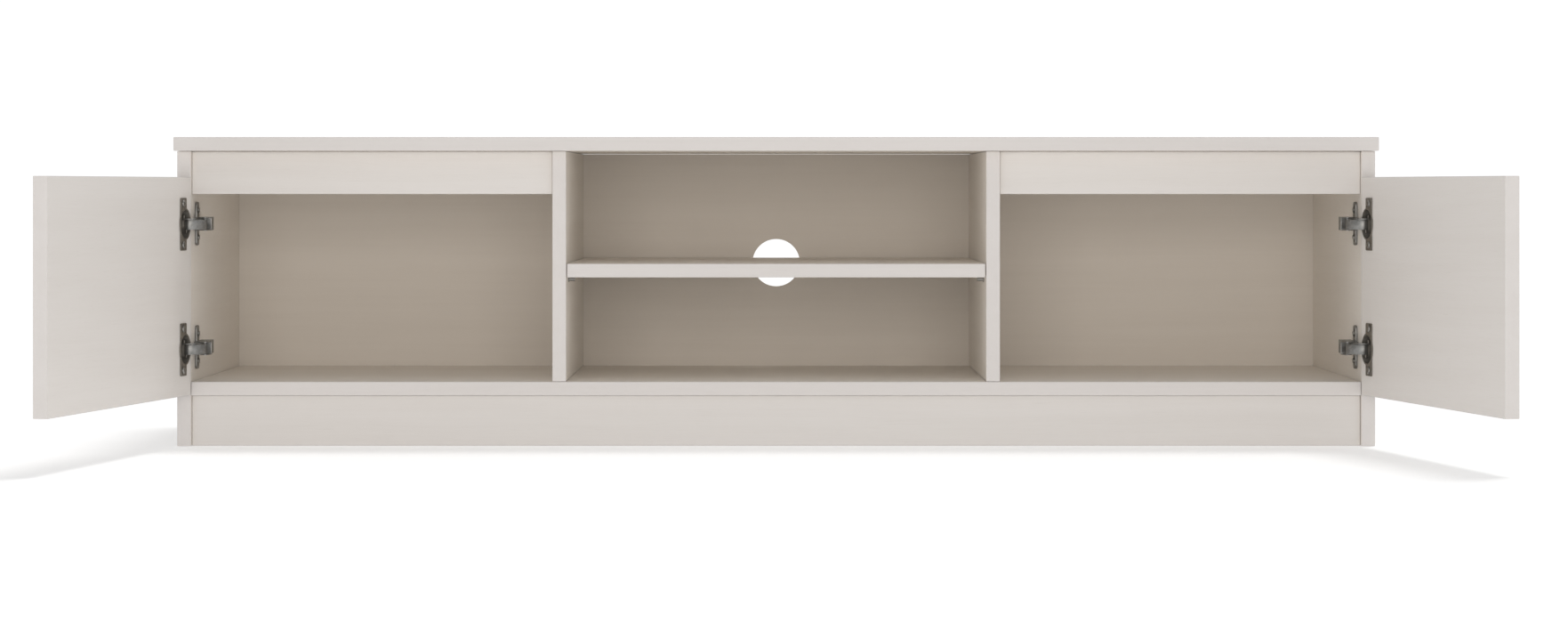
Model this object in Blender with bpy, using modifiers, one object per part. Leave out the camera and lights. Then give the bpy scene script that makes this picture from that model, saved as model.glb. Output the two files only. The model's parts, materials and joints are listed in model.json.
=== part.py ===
"""TV stand with doors: a low flat-pack cabinet of laminated board on concealed hinges.

Metres, +Z up, front towards -Y, +X to the right seen from the front. The origin is the middle of the
plinth's underside, on the floor. The doors stand open, which is the rest pose.
"""
import cmath
import math

import bmesh
import bpy
from mathutils import Vector

MM = 0.001
GAP = 0.3 * MM                      # left between pieces that touch
WELD = 0.01 * MM                    # points closer than this are one point
SHY = 0.05 * MM                     # keeps faces of solids that are joined from falling together
THROUGH = 1 * MM                    # how far a cutter stands out of the face it enters

# Cabinet
WIDTH = 1400 * MM                   # over the top panel
DEPTH = 400 * MM                    # over the top panel
HEIGHT = 360 * MM
BOARD = 16 * MM
EDGE = 0.8 * MM                     # rounding of the edge banding
TOP_SIDE_OVERHANG = 1.5 * MM
TOP_FRONT_OVERHANG = 18 * MM
BACK_THICKNESS = 3 * MM
PLINTH_HEIGHT = 59 * MM
PLINTH_RECESS = 7 * MM
RAIL_HEIGHT = 50 * MM
RAIL_RECESS = 7 * MM
NICHE_WIDTH = 490 * MM              # clear width of the open bay
SHELF_TOP = 212.5 * MM
SHELF_RECESS = 3 * MM
SHELF_END_GAP = 0.8 * MM
CABLE_HOLE_RADIUS = 30 * MM
CABLE_HOLE_HEIGHT = 206 * MM

# Shelf pins
PIN_RADIUS = 2.5 * MM
PIN_HOLE_DEPTH = 9 * MM
PIN_STANDOUT = 8 * MM
PIN_COLLAR_RADIUS = 3.05 * MM
PIN_COLLAR_THICKNESS = 1 * MM
PIN_COLLAR_DROP = 0.6 * MM          # keeps the collar clear of the shelf
PIN_FROM_SHELF_EDGE = 45 * MM
SHELF_BACK_GAP = 1 * MM
BACK_SIDE_INSET = 2 * MM            # back panel's ends from the outside of the side panels

# Doors
DOOR_WIDTH = 448 * MM
DOOR_OVERLAY = 15 * MM              # cover of the side panel by a closed door's hinge edge
DOOR_GAP = 2 * MM                   # closed door to the cabinet's front edges
DOOR_BOTTOM = 60 * MM
DOOR_TOP = 313.5 * MM
OPEN_ANGLE = math.radians(100)

# Concealed hinges. Plan points are complex numbers u + vj: u from the side panel's inner face towards
# the middle, v forward of the side panel's front edge. Heights are from the hinge's middle.
HINGE_HEIGHTS = {"lower": 114 * MM, "upper": 259 * MM}
CLOSED_CORNER = complex(-DOOR_OVERLAY, DOOR_GAP)    # inner corner of the hinge edge, closed
OPEN_CORNER = complex(1 * MM, 8 * MM)               # the same corner, open
OUTER_ARM_PIVOT = complex(17 * MM, 3 * MM)
OUTER_POLE_DISTANCE = 8 * MM        # outer link's cup pivot from the pole of the door's swing
INNER_ARM_PIVOT = complex(13.5 * MM, -2 * MM)
INNER_CUP_PIVOT = complex(8.5 * MM, 5 * MM)         # from the closed corner, in the door
PIVOT_RADIUS = 1.0 * MM
PIVOT_HOLE_RADIUS = 1.3 * MM
OUTER_LINK_BAND = (-6.6 * MM, 4.6 * MM)
INNER_LINK_BAND = (5.1 * MM, 6.4 * MM)
LINK_HALF = 2.0 * MM
OUTER_BOW = (complex(10 * MM, 13 * MM), complex(3 * MM, 19 * MM))   # curve handles, open pose
INNER_BOW = (complex(7 * MM, 10.5 * MM), complex(14 * MM, 6 * MM))  # along and across the inner link
FORK_ROOT = 20 * MM                 # from the inner link's cup pivot
FORK_HEEL = 18.6 * MM
FORK_TIP = 28 * MM
FORK_HALF = 2.7 * MM
FORK_SLOT_HALF = 1.5 * MM
FORK_SLOT_START = 20.6 * MM
ARM_TIP_RADIUS = 3.0 * MM           # of each cheek, round the outer link's pivot
ARM_NOSE_RADIUS = 2.9 * MM          # and round the inner link's
ARM_NECK = (complex(10 * MM, -8 * MM), complex(3.2 * MM, -17 * MM))     # up from the cheek's foot
ARM_SHOULDER = -9 * MM
ARM_BRIDGE_FRONT = -17 * MM         # front edge of the web between the cheeks
ARM_HALF_HEIGHT = 7.8 * MM
ARM_SHEET = 0.9 * MM
ARM_TOP = 21.5 * MM                 # over the links
ARM_REAR_TOP = 17 * MM              # over the mounting plate
ARM_SLOPE = (-29 * MM, -20 * MM)    # where the top steps up, back to front
ARM_FOOT = 3.2 * MM
ARM_BACK = -62 * MM
CUP_CENTRE = 21 * MM                # from the door's hinge edge
CUP_RADIUS = 17.2 * MM
CUP_DEPTH = 11.4 * MM
CUP_WALL = 0.6 * MM
RIM_RADIUS = 18.6 * MM
RIM_THICKNESS = 1.0 * MM
CUP_PIN_REACH = 10.2 * MM           # outer ends of the cup's pivot pins, either side of its middle
FLANGE_WIDTH = 21 * MM
FLANGE_HEIGHT = 61 * MM
FLANGE_EDGE = 0.3 * MM              # rounding
MOUTH_CUT = 8 * MM                  # length of the cutters that open the rim and the screw holes
PIN_TAIL = 0.15 * MM                # of each cup pin past its link, on the side away from the wall
FLANGE_OFFSET = 6 * MM              # of the flange and its screws from the cup's middle, off the edge
CUP_SCREW_SPACING = 48 * MM
PLATE_CENTRE = -37 * MM
PLATE_WIDTH = 17 * MM
PLATE_HEIGHT = 51 * MM
PLATE_THICKNESS = 2.4 * MM
PLATE_EDGE = 0.5 * MM               # rounding
PLATE_BLOCK_TOP = 12 * MM
PLATE_BLOCK_HALF_LENGTH = 19 * MM
PLATE_SCREW_SPACING = 32 * MM
SCREW_RADIUS = 1.7 * MM
SCREW_HOLE_RADIUS = 2.1 * MM
SCREW_HEAD_RADIUS = 3.3 * MM
SCREW_HEAD_HEIGHT = 1.6 * MM
DRIVER_CLEARANCE = 20 * MM          # length of the cutters that only need to go right through
BOARD_SCREW_LENGTH = 11 * MM
ARM_SCREW_LENGTH = 12 * MM

# Worked out from the above
CARCASS_HALF = WIDTH / 2 - TOP_SIDE_OVERHANG
INNER_HALF = CARCASS_HALF - BOARD
FRONT_Y = -(PLINTH_RECESS + BOARD / 2)              # front edges of the side panels
BACK_Y = FRONT_Y - TOP_FRONT_OVERHANG + DEPTH       # back of the top panel and the back panel
PANEL_BACK_Y = BACK_Y - BACK_THICKNESS - GAP        # back edges of the upright panels
UNDER_TOP = HEIGHT - BOARD - GAP
BOTTOM_TOP = PLINTH_HEIGHT + BOARD
DIVIDER_HALF = NICHE_WIDTH / 2
PIN_ROWS = {"front": FRONT_Y + SHELF_RECESS + PIN_FROM_SHELF_EDGE,
            "rear": PANEL_BACK_Y - PIN_FROM_SHELF_EDGE}
PIN_LEVEL = SHELF_TOP - BOARD - GAP - PIN_RADIUS

BOARD_FINISH = ((0.64, 0.58, 0.52), 0.45, 0.0)
DOOR_FINISH = ((0.62, 0.57, 0.51), 0.42, 0.0)
BACK_FINISH = ((0.50, 0.44, 0.38), 0.60, 0.0)
STEEL = ((0.36, 0.36, 0.35), 0.32, 1.0)
DARK_STEEL = ((0.20, 0.19, 0.18), 0.40, 1.0)
ZINC = ((0.70, 0.70, 0.68), 0.30, 1.0)


def new_collection(name):
    collection = bpy.data.collections.new(name)
    bpy.context.scene.collection.children.link(collection)
    return collection


def move_to(obj, collection):
    for owner in list(obj.users_collection):
        owner.objects.unlink(obj)
    collection.objects.link(obj)


def paint(obj, finish):
    """Give an object a material of its own."""
    colour, roughness, metallic = finish
    material = bpy.data.materials.new(obj.name)
    material.use_nodes = True
    shader = material.node_tree.nodes["Principled BSDF"]
    shader.inputs["Base Color"].default_value = (*colour, 1)
    shader.inputs["Roughness"].default_value = roughness
    shader.inputs["Metallic"].default_value = metallic
    obj.data.materials.clear()
    obj.data.materials.append(material)


def part(obj, name, finish):
    """File an object as one of the stand's pieces."""
    obj.name = name
    obj.data.name = name
    move_to(obj, PARTS)
    paint(obj, finish)
    return obj


def box(low, high, edge=0):
    """A block between two corners, its edges rounded over."""
    low, high = Vector(low), Vector(high)
    bpy.ops.mesh.primitive_cube_add(size=1, location=(low + high) / 2)
    obj = bpy.context.object
    obj.scale = high - low
    bpy.ops.object.transform_apply(location=False, rotation=False, scale=True)
    if edge:
        bevel = obj.modifiers.new("Rounded edges", "BEVEL")
        bevel.width = edge
        bevel.segments = 2
    return obj


def cylinder(centre, radius, length, axis="Z", sides=24):
    turns = {"X": (0, math.pi / 2, 0), "Y": (math.pi / 2, 0, 0), "Z": (0, 0, 0)}
    bpy.ops.mesh.primitive_cylinder_add(
        vertices=sides, radius=radius, depth=length, location=centre, rotation=turns[axis])
    obj = bpy.context.object
    obj.data.shade_smooth()
    obj.data.set_sharp_from_angle(angle=math.radians(40))
    return obj


def outline(loops, low, high):
    """A flat outline, with any holes as further loops, extruded from low to high along Z."""
    curve = bpy.data.curves.new("outline", "CURVE")
    curve.dimensions = "2D"
    curve.fill_mode = "BOTH"
    curve.extrude = (high - low) / 2
    for loop in loops:
        spline = curve.splines.new("POLY")
        spline.points.add(len(loop) - 1)
        for point, (x, y) in zip(spline.points, loop):
            point.co = (x, y, 0, 1)
        spline.use_cyclic_u = True
    flat = bpy.data.objects.new("outline", curve)
    flat.location.z = (low + high) / 2
    bpy.context.scene.collection.objects.link(flat)
    bpy.context.view_layer.update()
    filled = flat.evaluated_get(bpy.context.evaluated_depsgraph_get())
    mesh = bpy.data.meshes.new_from_object(filled)
    work = bmesh.new()
    work.from_mesh(mesh)
    bmesh.ops.remove_doubles(work, verts=work.verts, dist=WELD)
    bmesh.ops.recalc_face_normals(work, faces=work.faces)
    bmesh.ops.triangulate(work, faces=work.faces)
    work.faces.sort(key=lambda face: -face.calc_center_median().z)
    work.to_mesh(mesh)
    work.free()
    solid = bpy.data.objects.new("outline", mesh)
    solid.matrix_world = flat.matrix_world.copy()
    bpy.context.scene.collection.objects.link(solid)
    bpy.data.objects.remove(flat)
    return solid


def turned(profile, steps=36):
    """A profile of radius and height turned about Z."""
    mesh = bpy.data.meshes.new("turned")
    points = [(radius, 0, height) for radius, height in profile]
    mesh.from_pydata(points, [(i, i + 1) for i in range(len(points) - 1)], [])
    obj = bpy.data.objects.new("turned", mesh)
    bpy.context.scene.collection.objects.link(obj)
    screw = obj.modifiers.new("Turn", "SCREW")
    screw.axis = "Z"
    screw.steps = steps
    screw.render_steps = steps
    screw.use_merge_vertices = True
    screw.merge_threshold = WELD
    return obj


def combine(target, other, operation):
    move_to(other, CUTTERS)
    other.hide_render = True
    other.display_type = "WIRE"
    boolean = target.modifiers.new(operation.title(), "BOOLEAN")
    boolean.operation = operation
    boolean.object = other
    boolean.solver = "EXACT"


def cut(target, *cutters):
    for cutter in cutters:
        combine(target, cutter, "DIFFERENCE")


def fuse(target, *others):
    for other in others:
        combine(target, other, "UNION")


def arc(centre, radius, start, end, steps=8):
    """Points of an arc in the plan, as complex numbers; angles in degrees."""
    turns = [start + (end - start) * i / steps for i in range(steps + 1)]
    return [centre + cmath.rect(radius, math.radians(turn)) for turn in turns]


class Plan:
    """Places one door's plan points in the world: side is -1 for the left door, 1 for the right."""

    def __init__(self, side):
        self.side = side

    def xy(self, point):
        return (self.side * (INNER_HALF - point.real), FRONT_Y - point.imag)

    def at(self, point, height):
        return (*self.xy(point), height)

    def box(self, low, high, bottom, top, edge=0):
        """A block between two plan points and two heights."""
        xs, ys = zip(self.xy(low), self.xy(high))
        return box((min(xs), min(ys), bottom), (max(xs), max(ys), top), edge)

    def outline(self, loops, bottom, top):
        """An extruded outline of plan points, turned round for the left door so that both wind alike."""
        placed = [[self.xy(point) for point in loop[::self.side]] for loop in loops]
        return outline(placed, bottom, top)


class Swing:
    """The plan motion that takes a closed door to its open pose, and the hinge pivots on the way."""

    turn = cmath.exp(1j * OPEN_ANGLE)
    pole = (OPEN_CORNER - CLOSED_CORNER * turn) / (1 - turn)
    towards_arm = cmath.phase(OUTER_ARM_PIVOT - pole)
    outer_cup_closed = pole + cmath.rect(OUTER_POLE_DISTANCE, towards_arm - OPEN_ANGLE / 2)
    inner_cup_closed = CLOSED_CORNER + INNER_CUP_PIVOT

    @classmethod
    def opened(cls, point):
        return cls.pole + (point - cls.pole) * cls.turn


def axis_empty(name, location):
    empty = bpy.data.objects.new(name, None)
    empty.location = location
    PARTS.objects.link(empty)
    bpy.context.view_layer.update()
    return empty


def carry(empty, objects):
    """Parent objects to an empty where they stand."""
    bpy.context.view_layer.update()
    for obj in objects:
        obj.parent = empty
        obj.matrix_parent_inverse = empty.matrix_world.inverted()


def make_carcass():
    front, back = FRONT_Y, PANEL_BACK_Y
    top = box((-WIDTH / 2, front - TOP_FRONT_OVERHANG, HEIGHT - BOARD),
              (WIDTH / 2, BACK_Y, HEIGHT), EDGE)
    part(top, "top_panel", BOARD_FINISH)

    for side, word in ((-1, "left"), (1, "right")):
        plan = Plan(side)
        panel = plan.box(complex(-BOARD, 0), complex(0, front - back), 0, UNDER_TOP, EDGE)
        part(panel, f"{word}_side_panel", BOARD_FINISH)
        cut(panel, *plate_screw_holes(plan))

        divider_u = INNER_HALF - DIVIDER_HALF - BOARD
        divider = plan.box(complex(divider_u, 0), complex(divider_u + BOARD, front - back),
                           BOTTOM_TOP + GAP, UNDER_TOP, EDGE)
        part(divider, f"{word}_divider", BOARD_FINISH)
        for y in PIN_ROWS.values():
            hole = (side * (DIVIDER_HALF + PIN_HOLE_DEPTH / 2), y, PIN_LEVEL)
            cut(divider, cylinder(hole, PIN_RADIUS + GAP, PIN_HOLE_DEPTH + 2 * GAP, "X", 12))

        rail = plan.box(complex(GAP, -RAIL_RECESS), complex(divider_u - GAP, -RAIL_RECESS - BOARD),
                        UNDER_TOP - RAIL_HEIGHT, UNDER_TOP - GAP, EDGE)
        part(rail, f"{word}_front_rail", BOARD_FINISH)

    inner = INNER_HALF - GAP
    bottom = box((-inner, front, PLINTH_HEIGHT), (inner, back, BOTTOM_TOP), EDGE)
    part(bottom, "bottom_panel", BOARD_FINISH)

    plinth_y = front + PLINTH_RECESS
    plinth = box((-inner, plinth_y, 0), (inner, plinth_y + BOARD, PLINTH_HEIGHT - GAP), EDGE)
    part(plinth, "front_plinth", BOARD_FINISH)

    half = DIVIDER_HALF - SHELF_END_GAP
    shelf = box((-half, front + SHELF_RECESS, SHELF_TOP - BOARD),
                (half, back - SHELF_BACK_GAP, SHELF_TOP), EDGE)
    part(shelf, "middle_shelf", BOARD_FINISH)

    end = CARCASS_HALF - BACK_SIDE_INSET
    sheet = box((-end, back + GAP, PLINTH_HEIGHT), (end, BACK_Y, UNDER_TOP))
    part(sheet, "back_panel", BACK_FINISH)
    hole = (0, BACK_Y, CABLE_HOLE_HEIGHT)
    cut(sheet, cylinder(hole, CABLE_HOLE_RADIUS, 6 * BACK_THICKNESS, "Y", 48))


def make_shelf_pins():
    """Round steel pins in the dividers, which carry the shelf."""
    for side, word in ((-1, "left"), (1, "right")):
        for row, y in PIN_ROWS.items():
            length = PIN_HOLE_DEPTH + PIN_STANDOUT
            middle = side * (DIVIDER_HALF + PIN_HOLE_DEPTH - length / 2)
            pin = cylinder((middle, y, PIN_LEVEL), PIN_RADIUS, length, "X", 12)
            collar_x = side * (DIVIDER_HALF - GAP - PIN_COLLAR_THICKNESS / 2)
            collar = (collar_x, y, PIN_LEVEL - PIN_COLLAR_DROP)
            fuse(pin, cylinder(collar, PIN_COLLAR_RADIUS, PIN_COLLAR_THICKNESS, "X", 12))
            part(pin, f"{word}_{row}_shelf_pin", ZINC)


def screw(centre, direction, length):
    """A pan-head screw: centre is the head's underside, direction the way its point goes."""
    bore, head, height = SCREW_RADIUS, SCREW_HEAD_RADIUS, SCREW_HEAD_HEIGHT
    profile = [(0, height), (head * 0.75, height), (head, height * 0.4), (head, 0), (bore, 0),
               (bore, -length + bore), (0, -length)]
    obj = turned(profile, 12)
    obj.rotation_euler = Vector((0, 0, -1)).rotation_difference(Vector(direction)).to_euler()
    obj.location = centre
    return obj


def plate_screw_holes(plan):
    """Cutters of the pilot holes in a side panel."""
    depth = BOARD_SCREW_LENGTH + GAP
    middle = complex(THROUGH - depth / 2, PLATE_CENTRE)
    return [cylinder(plan.at(middle, level + end * PLATE_SCREW_SPACING / 2),
                     SCREW_RADIUS + GAP, depth + 2 * THROUGH, "X", 12)
            for level in HINGE_HEIGHTS.values() for end in (-1, 1)]


def make_mounting_plate(plan, word, level, level_word):
    """A cross plate on the side panel: two wings with a screw each, and a block under the arm."""
    half = complex(0, PLATE_WIDTH / 2)
    middle = complex(0, PLATE_CENTRE)
    wings = plan.box(middle - half + GAP, middle + half + GAP + PLATE_THICKNESS,
                     level - PLATE_HEIGHT / 2, level + PLATE_HEIGHT / 2, PLATE_EDGE)
    reach = complex(0, PLATE_BLOCK_HALF_LENGTH)
    half_height = ARM_HALF_HEIGHT - ARM_SHEET - GAP
    block = plan.box(middle - reach + 2 * GAP, middle + reach + PLATE_BLOCK_TOP,
                     level - half_height, level + half_height, PLATE_EDGE)
    fuse(wings, block)
    for end in (-1, 1):
        spot = plan.at(middle, level + end * PLATE_SCREW_SPACING / 2)
        cut(wings, cylinder(spot, SCREW_HOLE_RADIUS, DRIVER_CLEARANCE, "X", 12))
    spot = plan.at(middle + PLATE_BLOCK_TOP, level)
    cut(wings, cylinder(spot, SCREW_HOLE_RADIUS, DRIVER_CLEARANCE, "X", 12))
    part(wings, f"{word}_{level_word}_mounting_plate", STEEL)

    outward = (plan.side, 0, 0)
    seat = GAP + PLATE_THICKNESS + GAP
    for end, name in ((1, "top"), (-1, "bottom")):
        spot = plan.at(middle + seat, level + end * PLATE_SCREW_SPACING / 2)
        part(screw(spot, outward, BOARD_SCREW_LENGTH), f"{word}_{level_word}_plate_screw_{name}", ZINC)
    fixing = screw(plan.at(middle + ARM_REAR_TOP + GAP, level), outward, ARM_SCREW_LENGTH)
    part(fixing, f"{word}_{level_word}_arm_screw", ZINC)


def arm_top(back, front):
    """The line of an arm's top, from its low back over the slope to its high front."""
    low, high = ARM_SLOPE
    return [complex(ARM_REAR_TOP, back), complex(ARM_REAR_TOP, low), complex(ARM_TOP, high),
            complex(ARM_TOP, front)]


def make_arm(plan, word, level, level_word):
    """A folded channel over the mounting plate, its two cheeks joined by the pivots of the links."""
    points = [complex(ARM_FOOT, ARM_BACK), *arm_top(ARM_BACK, ARM_SHOULDER)]
    points += arc(OUTER_ARM_PIVOT, ARM_TIP_RADIUS, -5, 150)
    points += arc(INNER_ARM_PIVOT, ARM_NOSE_RADIUS, 160, 215)
    points += ARM_NECK
    arm = plan.outline([points], level - ARM_HALF_HEIGHT, level + ARM_HALF_HEIGHT)
    inside = ARM_HALF_HEIGHT - ARM_SHEET
    beyond = OUTER_ARM_PIVOT.imag + 2 * ARM_TIP_RADIUS
    hollow = [point - ARM_SHEET for point in arm_top(ARM_BACK - THROUGH, beyond)]
    hollow = [complex(0, ARM_BACK - THROUGH), *hollow, complex(0, beyond)]
    cut(arm, plan.outline([hollow], level - inside, level + inside))
    cut(arm, plan.box(complex(ARM_TOP - 2 * ARM_SHEET, ARM_BRIDGE_FRONT),
                      complex(ARM_TOP + THROUGH, beyond), level - inside, level + inside))
    spot = plan.at(complex(ARM_REAR_TOP, PLATE_CENTRE), level)
    cut(arm, cylinder(spot, SCREW_HOLE_RADIUS, 6 * ARM_SHEET, "X", 12))
    for pivot in (OUTER_ARM_PIVOT, INNER_ARM_PIVOT):
        fuse(arm, cylinder(plan.at(pivot, level), PIVOT_RADIUS, 2 * inside + ARM_SHEET, "Z", 12))
    part(arm, f"{word}_{level_word}_hinge_arm", STEEL)


def make_cup(plan, word, level, level_word):
    """The pressed cup in the door, closed pose: a pot with a screw flange and one short pin per link."""
    profile = [(0, -CUP_DEPTH + CUP_WALL), (CUP_RADIUS - CUP_WALL, -CUP_DEPTH + CUP_WALL),
               (CUP_RADIUS - CUP_WALL, GAP + RIM_THICKNESS), (RIM_RADIUS, GAP + RIM_THICKNESS),
               (RIM_RADIUS, GAP), (CUP_RADIUS, GAP), (CUP_RADIUS, -CUP_DEPTH), (0, -CUP_DEPTH)]
    centre = CLOSED_CORNER + CUP_CENTRE
    cup = turned(profile)
    cup.rotation_euler = (-math.pi / 2, 0, 0)
    cup.location = plan.at(centre, level)
    ears = centre + FLANGE_OFFSET
    flange = plan.box(ears - FLANGE_WIDTH / 2 - 1j * (GAP + RIM_THICKNESS - SHY),
                      ears + FLANGE_WIDTH / 2 - 1j * (GAP + SHY),
                      level - FLANGE_HEIGHT / 2, level + FLANGE_HEIGHT / 2, FLANGE_EDGE)
    fuse(cup, flange)
    mouth = CUP_RADIUS - CUP_WALL - 2 * SHY
    cut(cup, cylinder(plan.at(centre - 1j * RIM_THICKNESS, level), mouth, MOUTH_CUT, "Y", 32))
    for end in (-1, 1):
        spot = plan.at(ears, level + end * CUP_SCREW_SPACING / 2)
        cut(cup, cylinder(spot, SCREW_HOLE_RADIUS, MOUTH_CUT, "Y", 12))
    outer_pin = (-CUP_PIN_REACH, OUTER_LINK_BAND[1] + PIN_TAIL)
    inner_pin = (INNER_LINK_BAND[0] - PIN_TAIL, CUP_PIN_REACH)
    for pivot, (low, high) in ((Swing.outer_cup_closed, outer_pin), (Swing.inner_cup_closed, inner_pin)):
        middle = plan.at(pivot, level + (low + high) / 2)
        fuse(cup, cylinder(middle, PIVOT_RADIUS, high - low, "Z", 12))
    return part(cup, f"{word}_{level_word}_hinge_cup", DARK_STEEL)


def make_door(plan, word):
    """A door with its cups and their screws, built closed and then swung open about its pole."""
    low = CLOSED_CORNER
    door = plan.box(low, low + complex(DOOR_WIDTH, BOARD), DOOR_BOTTOM, DOOR_TOP, EDGE)
    part(door, f"{word}_door", DOOR_FINISH)
    pieces = [door]

    for level_word, level in HINGE_HEIGHTS.items():
        centre = low + CUP_CENTRE
        recess_depth = CUP_DEPTH + 3 * GAP
        recess = centre + 1j * (recess_depth / 2 - THROUGH)
        cut(door, cylinder(plan.at(recess, level), CUP_RADIUS + GAP, recess_depth + 2 * THROUGH, "Y", 36))
        pieces.append(make_cup(plan, word, level, level_word))
        pilot = centre + FLANGE_OFFSET + 1j * (BOARD_SCREW_LENGTH / 2 - THROUGH)
        seat = centre + FLANGE_OFFSET - 1j * (RIM_THICKNESS + 2 * GAP)
        for end, name in ((1, "top"), (-1, "bottom")):
            height = level + end * CUP_SCREW_SPACING / 2
            cut(door, cylinder(plan.at(pilot, height), SCREW_RADIUS + GAP,
                               BOARD_SCREW_LENGTH + 2 * THROUGH, "Y", 12))
            fastener = screw(plan.at(seat, height), (0, -1, 0), BOARD_SCREW_LENGTH)
            pieces.append(part(fastener, f"{word}_{level_word}_cup_screw_{name}", ZINC))

    axis = axis_empty(f"{word}_door_axis", plan.at(Swing.outer_cup_closed, 0))
    cutters = [modifier.object for piece in pieces for modifier in piece.modifiers
               if modifier.type == "BOOLEAN"]
    carry(axis, pieces + cutters)
    axis.location = plan.at(Swing.opened(Swing.outer_cup_closed), 0)
    axis.rotation_euler.z = plan.side * OPEN_ANGLE
    bpy.context.view_layer.update()


def bowed(start, first, second, end, steps=10):
    """Points of a cubic curve from start to end with two handles."""
    points = []
    for step in range(steps + 1):
        far = step / steps
        near = 1 - far
        handles = 3 * near * far * (near * first + far * second)
        points.append(near**3 * start + handles + far**3 * end)
    return points


def sides_of(path, half):
    """The two edges of a strap that runs along a path."""
    left, right = [], []
    for i, point in enumerate(path):
        along = path[min(i + 1, len(path) - 1)] - path[max(i - 1, 0)]
        across = half * along / abs(along) * 1j
        left.append(point + across)
        right.append(point - across)
    return left, right


def end_cap(path, half):
    """The half round before the first point of a strap's path, from its left edge to its right."""
    heading = math.degrees(cmath.phase(path[1] - path[0]))
    return arc(path[0], half, heading + 90, heading + 270)[1:-1]


def make_links(plan, word):
    """The two bowed links of each hinge, in the open pose."""
    arm, cup = OUTER_ARM_PIVOT, Swing.opened(Swing.outer_cup_closed)
    path = bowed(arm, *OUTER_BOW, cup)
    left, right = sides_of(path, LINK_HALF)
    rim = left[::-1] + end_cap(path, LINK_HALF) + right + end_cap(path[::-1], LINK_HALF)
    holes = [arc(pivot, PIVOT_HOLE_RADIUS, 0, 330, 11) for pivot in (arm, cup)]
    outer = []
    for level_word, level in HINGE_HEIGHTS.items():
        low, high = (level + height for height in OUTER_LINK_BAND)
        link = plan.outline([rim] + holes, low, high)
        outer.append(part(link, f"{word}_{level_word}_outer_link", STEEL))
    carry(axis_empty(f"{word}_outer_link_axis", plan.at(arm, 0)), outer)

    cup = Swing.opened(Swing.inner_cup_closed)
    along = INNER_ARM_PIVOT - cup
    along /= abs(along)
    first, second = (cup + along * handle for handle in INNER_BOW)
    path = bowed(cup, first, second, cup + along * FORK_ROOT)
    left, right = sides_of(path, LINK_HALF)
    tip, slot = FORK_TIP, FORK_SLOT_START
    fork = [complex(FORK_HEEL, -FORK_HALF), complex(tip, -FORK_HALF), complex(tip, -FORK_SLOT_HALF),
            complex(slot, -FORK_SLOT_HALF), complex(slot, FORK_SLOT_HALF), complex(tip, FORK_SLOT_HALF),
            complex(tip, FORK_HALF)]
    fork = [cup + along * point for point in fork]
    rim = left[-2::-1] + end_cap(path, LINK_HALF) + right[:-1] + fork
    hole = arc(cup, PIVOT_HOLE_RADIUS, 0, 330, 11)
    inner = []
    for level_word, level in HINGE_HEIGHTS.items():
        low, high = (level + height for height in INNER_LINK_BAND)
        link = plan.outline([rim, hole], low, high)
        inner.append(part(link, f"{word}_{level_word}_inner_link", STEEL))
    carry(axis_empty(f"{word}_inner_link_axis", plan.at(cup, 0)), inner)


for old in list(bpy.data.objects):
    bpy.data.objects.remove(old)
PARTS = new_collection("tv_stand_with_doors")
CUTTERS = new_collection("cutters")

make_carcass()
make_shelf_pins()
for door_side, door_word in ((-1, "left"), (1, "right")):
    door_plan = Plan(door_side)
    for hinge_word, hinge_level in HINGE_HEIGHTS.items():
        make_mounting_plate(door_plan, door_word, hinge_level, hinge_word)
        make_arm(door_plan, door_word, hinge_level, hinge_word)
    make_door(door_plan, door_word)
    make_links(door_plan, door_word)
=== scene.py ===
"""TV stand with doors: the finished look of a low cabinet of laminated board.

Its two doors stand wide open on concealed hinges. The boards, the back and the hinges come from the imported
frame. This add-on gives them their finishes, builds the small hardware in detail, and sets the studio.
"""
import json
import math

import bmesh
import bpy
import numpy as np
from bpy.props import FloatProperty, FloatVectorProperty, PointerProperty
from mathutils import Matrix, Vector

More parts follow.
